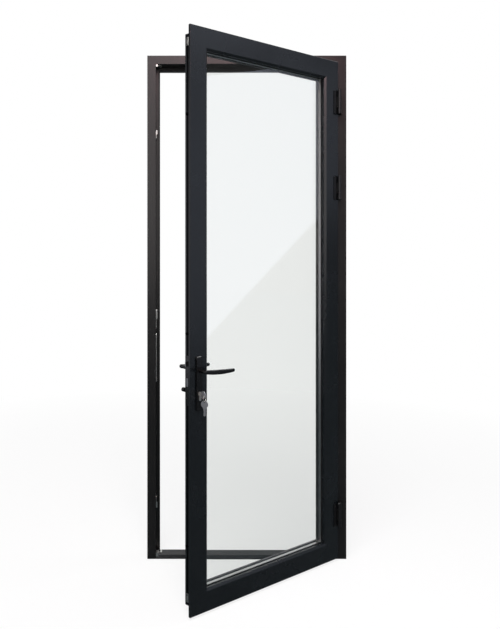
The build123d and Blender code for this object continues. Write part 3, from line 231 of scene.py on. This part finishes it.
def rubber(name, shade, high_shade, roughness=0.62):
    """Extruded EPDM rubber, or sealant cured in place: dull black with a faint cloudy bloom."""
    material, tree, shader = new_material(name, shade, 0.0, roughness, IOR=1.52)
    bloom_mm, fine_mm = 14, 0.625
    where = place_in_mm(tree)
    bloom = add(tree, "ShaderNodeTexNoise", Vector=where, Scale=1 / bloom_mm, Detail=6.0)
    fine = add(tree, "ShaderNodeTexNoise", Vector=where, Scale=1 / fine_mm, Detail=2.0)
    colour = ramp(tree, bloom.outputs["Fac"], (0.35, shade), (0.75, high_shade))
    bump = add(tree, "ShaderNodeBump", Strength=0.2, Distance=0.0001, Height=fine.outputs["Fac"])
    tree.links.new(colour, shader.inputs["Base Color"])
    tree.links.new(bump.outputs["Normal"], shader.inputs["Normal"])
    return material


def moulded_plastic(name, shade, high_shade, roughness=0.45):
    """Injection-moulded polypropylene: smooth, a little waxy, with a fine mould grain."""
    material, tree, shader = new_material(name, shade, 0.0, roughness, IOR=1.49)
    where = place_in_mm(tree)
    grain = add(tree, "ShaderNodeTexNoise", Vector=where, Scale=1.2, Detail=2.0)
    colour = ramp(tree, grain.outputs["Fac"], (0.3, shade), (0.7, high_shade))
    bump = add(tree, "ShaderNodeBump", Strength=0.1, Distance=0.0001, Height=grain.outputs["Fac"])
    tree.links.new(colour, shader.inputs["Base Color"])
    tree.links.new(bump.outputs["Normal"], shader.inputs["Normal"])
    return material


def brush_pile():
    """Woven polypropylene pile: upright dark fibres, about 0.3 mm, drawn at 0.8 mm."""
    material, tree, shader = new_material("polypropylene_brush_pile", "111112", 0.0, 0.9)
    where = place_in_mm(tree, (1.3, 1.3, 0.1))
    fibres = add(tree, "ShaderNodeTexNoise", Vector=where, Scale=1.0, Detail=3.0)
    colour = ramp(tree, fibres.outputs["Fac"], (0.35, "0b0b0c"), (0.7, "2b2b2d"))
    bump = add(tree, "ShaderNodeBump", Strength=0.8, Distance=0.0008, Height=fibres.outputs["Fac"])
    tree.links.new(colour, shader.inputs["Base Color"])
    tree.links.new(bump.outputs["Normal"], shader.inputs["Normal"])
    return material


def float_glass():
    """Clear float glass, 5 mm thick: it lets nearly all light through and is flat to the eye."""
    material, tree, shader = new_material("clear_float_glass", "fdfefd", 0.0, 0.0, IOR=1.5)
    shader.inputs["Transmission Weight"].default_value = 1.0
    wave_mm = 420
    where = place_in_mm(tree)
    wave = add(tree, "ShaderNodeTexNoise", Vector=where, Scale=1 / wave_mm, Detail=1.0)
    bump = add(tree, "ShaderNodeBump", Strength=0.02, Distance=0.0003, Height=wave.outputs["Fac"])
    tree.links.new(bump.outputs["Normal"], shader.inputs["Normal"])
    return material


# A pattern with this stretch has its lines running up the door
UPRIGHT = (1, 1, 0.02)
MATERIALS = {
    "frame_coat": powder_coat("powder_coated_aluminium_frame", "100f0f", "141313", 0.3),
    "leaf_coat": powder_coat("powder_coated_aluminium_leaf", "0c1013", "101417", 0.26),
    "sill_metal": powder_coat("powder_coated_aluminium_sill", "2a2a2c", "363638", 0.42),
    "hinge_coat": powder_coat("powder_coated_steel_hinge", "0e0e0f", "131314", 0.3),
    "black_coat": powder_coat("lacquered_zinc_handle", "0a0a0b", "0e0e0f", 0.16),
    "rod_metal": brushed_metal("black_anodised_aluminium", "18181a", "222224", 0.38, UPRIGHT),
    "zinc": cast_metal("zinc_plated_steel", "b9bab8", "e2e3e0", 0.3, 7),
    "cast_zinc": cast_metal("tumbled_zinc_casting", "b3b3b0", "dcdcd8", 0.38, 3),
    "mill_aluminium": brushed_metal("mill_finish_aluminium", "a7a8aa", "c9cacb", 0.36, UPRIGHT),
    "spacer": brushed_metal("bright_rolled_aluminium", "c7c8c8", "e6e6e6", 0.28, (1, 1, 1)),
    "steel": brushed_metal("ground_steel", "8e8f90", "b9babb", 0.32, UPRIGHT),
    "nickel": brushed_metal("satin_nickel_plate", "b4b1aa", "d6d3cb", 0.36, (1, 0.05, 1)),
    "key_nickel": brushed_metal("stamped_nickel_silver", "cfcdd0", "ebe9ec", 0.44, (1, 1, 0.05)),
    "rubber": rubber("extruded_epdm_rubber", "0a0a0b", "141415"),
    "sealant": rubber("polysulphide_sealant", "121213", "1c1c1d", 0.55),
    "packer": moulded_plastic("moulded_polypropylene_packer", "1c2f6e", "27408a"),
    "brush": brush_pile(),
    "glass": float_glass(),
}


def dress_frame():
    """Gives every CAD node the material of its slot."""
    for entry in frame["record"]["subparts"]:
        node = frame["nodes"][entry["node"]]
        node.data.materials.clear()
        node.data.materials.append(MATERIALS[entry["material_slot"]])


# Places on the leaf


def on_leaf(across, depth, z):
    """A point on the open leaf, from its lock edge inward, its front face backward and the floor."""
    shut = Vector((LEAF_LEFT + across, LEAF_FRONT + depth, z))
    turned = Matrix.Rotation(OPEN_ANGLE, 3, "Z") @ (shut - HINGE_AXIS)
    return turned + HINGE_AXIS


def leaf_direction(x, y):
    """A level direction on the shut leaf, turned with the open one."""
    return Matrix.Rotation(OPEN_ANGLE, 3, "Z") @ Vector((x, y, 0))


# Small screws


def screw_mesh(radius, recess):
    """A countersunk screw's head, flush at z = 0, with a cross or a socket recess cut into it."""
    mesh = bmesh.new()
    steps = 32
    recess_depth, recess_taper = radius * 0.5, 0.8
    skirt_depth, skirt_flare = radius * 0.12, 1.04
    cone_depth, cone_taper = radius * 0.7, 0.5
    rim = [mesh.verts.new((radius * math.cos(a), radius * math.sin(a), 0))
           for a in (2 * math.pi * i / steps for i in range(steps))]
    if recess == "cross":
        arm, half = radius * 0.62, radius * 0.15
        quarter = [(arm, -half), (arm, half), (half, half)]
        points = [(x * math.cos(t) - y * math.sin(t), x * math.sin(t) + y * math.cos(t))
                  for t in (math.pi / 2 * k for k in range(4)) for x, y in quarter]
    else:
        corner = radius * 0.48
        points = [(corner * math.cos(t), corner * math.sin(t)) for t in (math.pi / 3 * k for k in range(6))]
    mouth = [mesh.verts.new((x, y, 0)) for x, y in points]
    floor = [mesh.verts.new((x * recess_taper, y * recess_taper, -recess_depth)) for x, y in points]
    edges = [mesh.edges.new((rim[i], rim[(i + 1) % steps])) for i in range(steps)]
    edges += [mesh.edges.new((mouth[i], mouth[(i + 1) % len(mouth)])) for i in range(len(mouth))]
    bmesh.ops.triangle_fill(mesh, use_beauty=True, edges=edges)
    for i in range(len(mouth)):
        j = (i + 1) % len(mouth)
        mesh.faces.new((mouth[i], mouth[j], floor[j], floor[i]))
    mesh.faces.new(floor)
    foot = [mesh.verts.new((v.co.x * skirt_flare, v.co.y * skirt_flare, -skirt_depth)) for v in rim]
    deep = [mesh.verts.new((v.co.x * cone_taper, v.co.y * cone_taper, -cone_depth)) for v in rim]
    for i in range(steps):
        j = (i + 1) % steps
        mesh.faces.new((rim[i], foot[i], foot[j], rim[j]))
        mesh.faces.new((foot[i], deep[i], deep[j], foot[j]))
    mesh.faces.new(deep)
    bmesh.ops.recalc_face_normals(mesh, faces=mesh.faces)
    return mesh


def screws(name, body, places, normal, radius, material, recess="cross", proud=0.0004):
    """Screw heads at several places, as one piece; each is turned to its own angle."""
    whole = bmesh.new()
    turn = normal.to_track_quat("Z", "Y").to_matrix().to_4x4()
    for index, place in enumerate(places):
        head = screw_mesh(radius, recess)
        spin = Matrix.Rotation(TURN_STEP * index + FIRST_TURN, 4, "Z")
        head.transform(Matrix.Translation(place + normal * proud) @ turn @ spin)
        data = bpy.data.meshes.new(name + "_head")
        head.to_mesh(data)
        head.free()
        whole.from_mesh(data)
        bpy.data.meshes.remove(data)
    data = bpy.data.meshes.new(name)
    whole.to_mesh(data)
    whole.free()
    piece = bpy.data.objects.new(name, data)
    bpy.context.scene.collection.objects.link(piece)
    piece.data.materials.append(MATERIALS[material])
    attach(piece, body)


def hinge_screws():
    """Two screws in each hinge half on the frame and three in each half on the leaf."""
    forward = Vector((0, -1, 0))
    outward = leaf_direction(0, -1)
    for name in ("top", "middle", "bottom"):
        low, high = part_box(f"{name}_hinge_frame_half")
        middle = (low.z + high.z) / 2
        x, y = high.x - FRAME_HALF_INSET, FRAME_FRONT - HINGE_PLATE
        steps = (-FRAME_HALF_STEP, FRAME_HALF_STEP)
        places = [Vector((x, y, middle + step)) for step in steps]
        screws(f"{name}_hinge_frame_screws", "frame", places, forward, HINGE_SCREW, "hinge_coat", "socket")
        steps = (-LEAF_HALF_STEP, 0, LEAF_HALF_STEP)
        across = LEAF_WIDTH - LEAF_HALF_INSET
        places = [on_leaf(across, -HINGE_PLATE, middle + step) for step in steps]
        screws(f"{name}_hinge_leaf_screws", "leaf", places, outward, HINGE_SCREW, "hinge_coat", "socket")


def keep_screws():
    """Two screws in each keep and three in the strike."""
    inward = Vector((1, 0, 0))
    for name in ("upper_keep", "middle_keep", "lower_keep", "main_strike"):
        low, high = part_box(name)
        x = low.x + (STRIKE_PLATE if name == "main_strike" else KEEP_PLATE)
        y = (low.y + high.y) / 2 + KEEP_BACK_STEP
        heights = [low.z + KEEP_END, high.z - KEEP_END]
        if name == "main_strike":
            heights.append(CYLINDER_Z - STRIKE_BELOW_CYLINDER)
        places = [Vector((x, y, z)) for z in heights]
        screws(f"{name}_screws", "frame", places, inward, PLATE_SCREW, "zinc")


def leaf_edge_screws():
    """Screws on the leaf's free edge: faceplate, cylinder and rod guides."""
    outward = leaf_direction(-1, 0)
    across = FLANGE_OVERHANG - EDGE_PLATE
    low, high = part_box("lock_faceplate")
    heights = [low.z + FACEPLATE_END, high.z - FACEPLATE_END, SPINDLE_Z - FACEPLATE_BELOW_SPINDLE]
    places = [on_leaf(across, GROOVE_CENTRE, z) for z in heights]
    screws("faceplate_screws", "leaf", places, outward, PLATE_SCREW, "black_coat")
    place = on_leaf(across, GROOVE_CENTRE, CYLINDER_Z)
    screws("cylinder_screw", "leaf", [place], outward, CYLINDER_SCREW, "black_coat")
    guides = []
    for name in ("top_rod_guide", "bottom_rod_guide"):
        low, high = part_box(name)
        guides += [on_leaf(across, GROOVE_CENTRE, z) for z in (low.z + GUIDE_END, high.z - GUIDE_END)]
    screws("rod_guide_screws", "leaf", guides, outward, GUIDE_SCREW, "black_coat")


# Studio


def seen_directly(tree, rays):
    """1 for what the camera sees, straight or through glass; 0 for light and for reflections."""
    depth = rays.outputs["Glossy Depth"]
    straight = add(tree, "ShaderNodeMath", {"operation": "LESS_THAN"}, i0=depth, i1=0.5)
    glass = rays.outputs["Is Transmission Ray"]
    through = add(tree, "ShaderNodeMath", {"operation": "MULTIPLY"}, i0=glass, i1=straight.outputs[0])
    camera = rays.outputs["Is Camera Ray"]
    seen = add(tree, "ShaderNodeMath", {"operation": "MAXIMUM"}, i0=camera, i1=through.outputs[0])
    return seen.outputs[0]


def studio_floor():
    """A white floor that keeps the door's soft shadow and turns plain white farther off;
    reflections see it as dim as the room."""
    bpy.ops.mesh.primitive_plane_add(size=FLOOR_SIZE, location=(0, 0, -FLOOR_DROP))
    floor = bpy.context.object
    floor.name = "studio_floor"
    material, tree, shader = new_material("white_studio_floor", "f4f4f4", 0.0, 0.9)
    rays = add(tree, "ShaderNodeLightPath")
    seen = seen_directly(tree, rays)
    where = add(tree, "ShaderNodeTexCoord")
    away = add(tree, "ShaderNodeVectorMath", {"operation": "LENGTH"}, i0=where.outputs["Object"])
    whiter = add(tree, "ShaderNodeMapRange", Value=away.outputs["Value"])
    whiter.inputs["From Min"].default_value = WHITER_FROM
    whiter.inputs["From Max"].default_value = WHITER_TO
    whiter.inputs["To Min"].default_value = FLOOR_WHITE
    share = whiter.outputs["Result"]
    lift = add(tree, "ShaderNodeMath", {"operation": "MULTIPLY"}, i0=seen, i1=share)
    white = add(tree, "ShaderNodeEmission", Color=(1, 1, 1, 1), Strength=1.0)
    paper = add(tree, "ShaderNodeMixShader", i0=lift.outputs[0], i1=shader.outputs[0], i2=white.outputs[0])
    dim = add(tree, "ShaderNodeEmission", Color=srgb("e6f7ff"), Strength=FLOOR_MIRRORED)
    glossy = rays.outputs["Is Glossy Ray"]
    unseen = add(tree, "ShaderNodeMath", {"operation": "SUBTRACT"}, i0=glossy, i1=seen)
    mixed = add(tree, "ShaderNodeMixShader", i0=unseen.outputs[0], i1=paper.outputs[0], i2=dim.outputs[0])
    tree.links.new(mixed.outputs[0], tree.nodes["Material Output"].inputs["Surface"])
    floor.data.materials.append(material)


def studio_world():
    """White to the camera and through glass; else a dim room with a pale backdrop behind the door."""
    world = bpy.data.worlds.new("studio")
    world.use_nodes = True
    bpy.context.scene.world = world
    tree = world.node_tree
    tree.nodes.clear()
    where = add(tree, "ShaderNodeTexCoord")
    side = add(tree, "ShaderNodeSeparateXYZ", Vector=where.outputs["Generated"])
    room = add(tree, "ShaderNodeMapRange", Value=side.outputs["Y"])
    room.inputs["From Min"].default_value = BACKDROP_FROM
    room.inputs["From Max"].default_value = BACKDROP_TO
    room.inputs["To Min"].default_value = ROOM_LEVEL
    room.inputs["To Max"].default_value = BACKDROP_LEVEL
    seen = seen_directly(tree, add(tree, "ShaderNodeLightPath"))
    level = room.outputs["Result"]
    strength = add(tree, "ShaderNodeMix", {"data_type": "FLOAT"}, i0=seen, i2=level, i3=1.0)
    sky = add(tree, "ShaderNodeBackground", Color=(1, 1, 1, 1), Strength=strength.outputs[0])
    add(tree, "ShaderNodeOutputWorld", Surface=sky.outputs["Background"])


def softbox(name, place, facing, size, level, colour="ffffff", roll=0):
    """A flat soft lamp of an even level, where 1 is the level of white paper; the camera doesn't
    see it. Its width lies level, then it is rolled about its own axis."""
    lamp = bpy.data.lights.new(name, "AREA")
    lamp.shape = "RECTANGLE"
    lamp.size, lamp.size_y = size
    lamp.energy = level * math.pi * size[0] * size[1]
    lamp.color = srgb(colour)[:3]
    piece = bpy.data.objects.new(name, lamp)
    bpy.context.scene.collection.objects.link(piece)
    piece.location = place
    aim = Vector(facing).to_track_quat("-Z", "Y").to_matrix()
    piece.rotation_euler = (aim @ Matrix.Rotation(math.radians(roll), 3, "Z")).to_euler()
    piece.visible_camera = False


def slanted_card():
    """A pale blue card at the right, whose slanting foot draws the glass's diagonal highlight."""
    front, back = -4.5, -0.2
    foot, top = 0, 3.26
    slant_foot, slant_top = -2.13, 2.09
    corners = [(slant_foot, foot), (back, slant_top), (back, top), (front, top), (front, foot)]
    mesh = bpy.data.meshes.new("slanted_card")
    mesh.from_pydata([(BLUE_CARD_X, y, z) for y, z in corners], [], [range(len(corners))])
    material, _, shader = new_material("studio_card", "000000", 0.0, 1.0)
    shader.inputs["Emission Strength"].default_value = SLANTED_CARD_LEVEL
    shader.inputs["Emission Color"].default_value = srgb(BLUE_CARD)
    shader.inputs["Specular IOR Level"].default_value = 0.0
    mesh.materials.append(material)
    card = bpy.data.objects.new("slanted_card", mesh)
    bpy.context.scene.collection.objects.link(card)
    card.visible_camera = False


def studio_lamps():
    """Cards before and beside the door, a bright strip for its head, and two lamps overhead."""
    softbox("front_card", (-0.9, -5.6, 3.2), (0, 1, 0), (4.2, 4.5), 1.35, "fffafa", 6)
    softbox("high_strip", (0.75, -5.5, 4.2), (0, 1, 0), (1.6, 0.7), 11, "ffc3ca")
    slanted_card()
    softbox("right_high_card", (BLUE_CARD_X, -2.35, 4.4), (-1, 0, 0), (4.3, 1.6), 1.1, BLUE_CARD)
    softbox("left_card", (-4.0, 0.5, 1.6), (1, 0, 0), (2.5, 3), 0.5, "fbf6ff")
    softbox("overhead", (-0.8, -2.6, 5.4), (0.15, 0.5, -0.85), (3, 2), 15)
    softbox("high_corner", (3.4, 0.75, 5.4), (-0.61, -0.2, -0.76), (1.8, 1.8), 5)


def photo_camera():
    """The photograph's own view: level, straight on, with its principal point off the middle."""
    data = bpy.data.cameras.new("photo_camera")
    longest = max(PHOTO_WIDTH, PHOTO_HEIGHT)
    data.sensor_width = SENSOR
    data.lens = SENSOR * FOCAL_PIXELS / longest
    data.shift_x = (PHOTO_WIDTH / 2 - PRINCIPAL[0]) / longest
    data.shift_y = (PRINCIPAL[1] - PHOTO_HEIGHT / 2) / longest
    data.clip_end = 60
    camera = bpy.data.objects.new("photo_camera", data)
    camera.location = CAMERA_PLACE
    camera.rotation_euler = (math.pi / 2, 0, 0)
    bpy.context.scene.collection.objects.link(camera)
    bpy.context.scene.camera = camera


photo_camera()
studio_world()
studio_floor()
studio_lamps()
dress_frame()
hinge_screws()
keep_screws()
leaf_edge_screws()

bpy.context.scene.view_settings.view_transform = "Standard"
